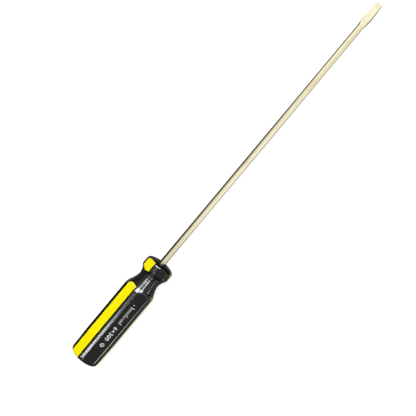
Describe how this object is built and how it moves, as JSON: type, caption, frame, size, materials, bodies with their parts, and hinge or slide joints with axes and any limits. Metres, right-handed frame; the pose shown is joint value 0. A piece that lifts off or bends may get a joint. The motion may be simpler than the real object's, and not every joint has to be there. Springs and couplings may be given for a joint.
{
  "type": "slotted screwdriver",
  "caption": "Long slotted screwdriver: round steel blade with a ground wedge tip, pressed into a waisted six-sided handle of black acetate with yellow inlaid stripes.",
  "frame": {"origin": "centre of the flat end face of the blade's tip", "axes": "+X along the driver's axis, out of the tip towards the screw, with the handle towards -X; +Z out of the middle of the first yellow stripe, so that a black flat of the grip faces -Z"},
  "size_m": [0.4138, 0.0308, 0.0284],
  "materials": {
    "black_acetate": "gloss black cellulose acetate, worn dull along its edges",
    "yellow_acetate": "gloss lemon yellow cellulose acetate",
    "plated_steel": "satin nickel plate with a warm tint, matt on the ground tip",
    "white_ink": "white printed size marks on one black flat, thinner than the solids can hold"
  },
  "bodies": {
    "root": {"handle_core": "black_acetate", "grip_stripe_1": "yellow_acetate", "grip_stripe_2": "yellow_acetate", "grip_stripe_3": "yellow_acetate", "collar_stripe_1": "yellow_acetate", "collar_stripe_2": "yellow_acetate", "collar_stripe_3": "yellow_acetate", "blade": "plated_steel"}
  },
  "joints": []
}
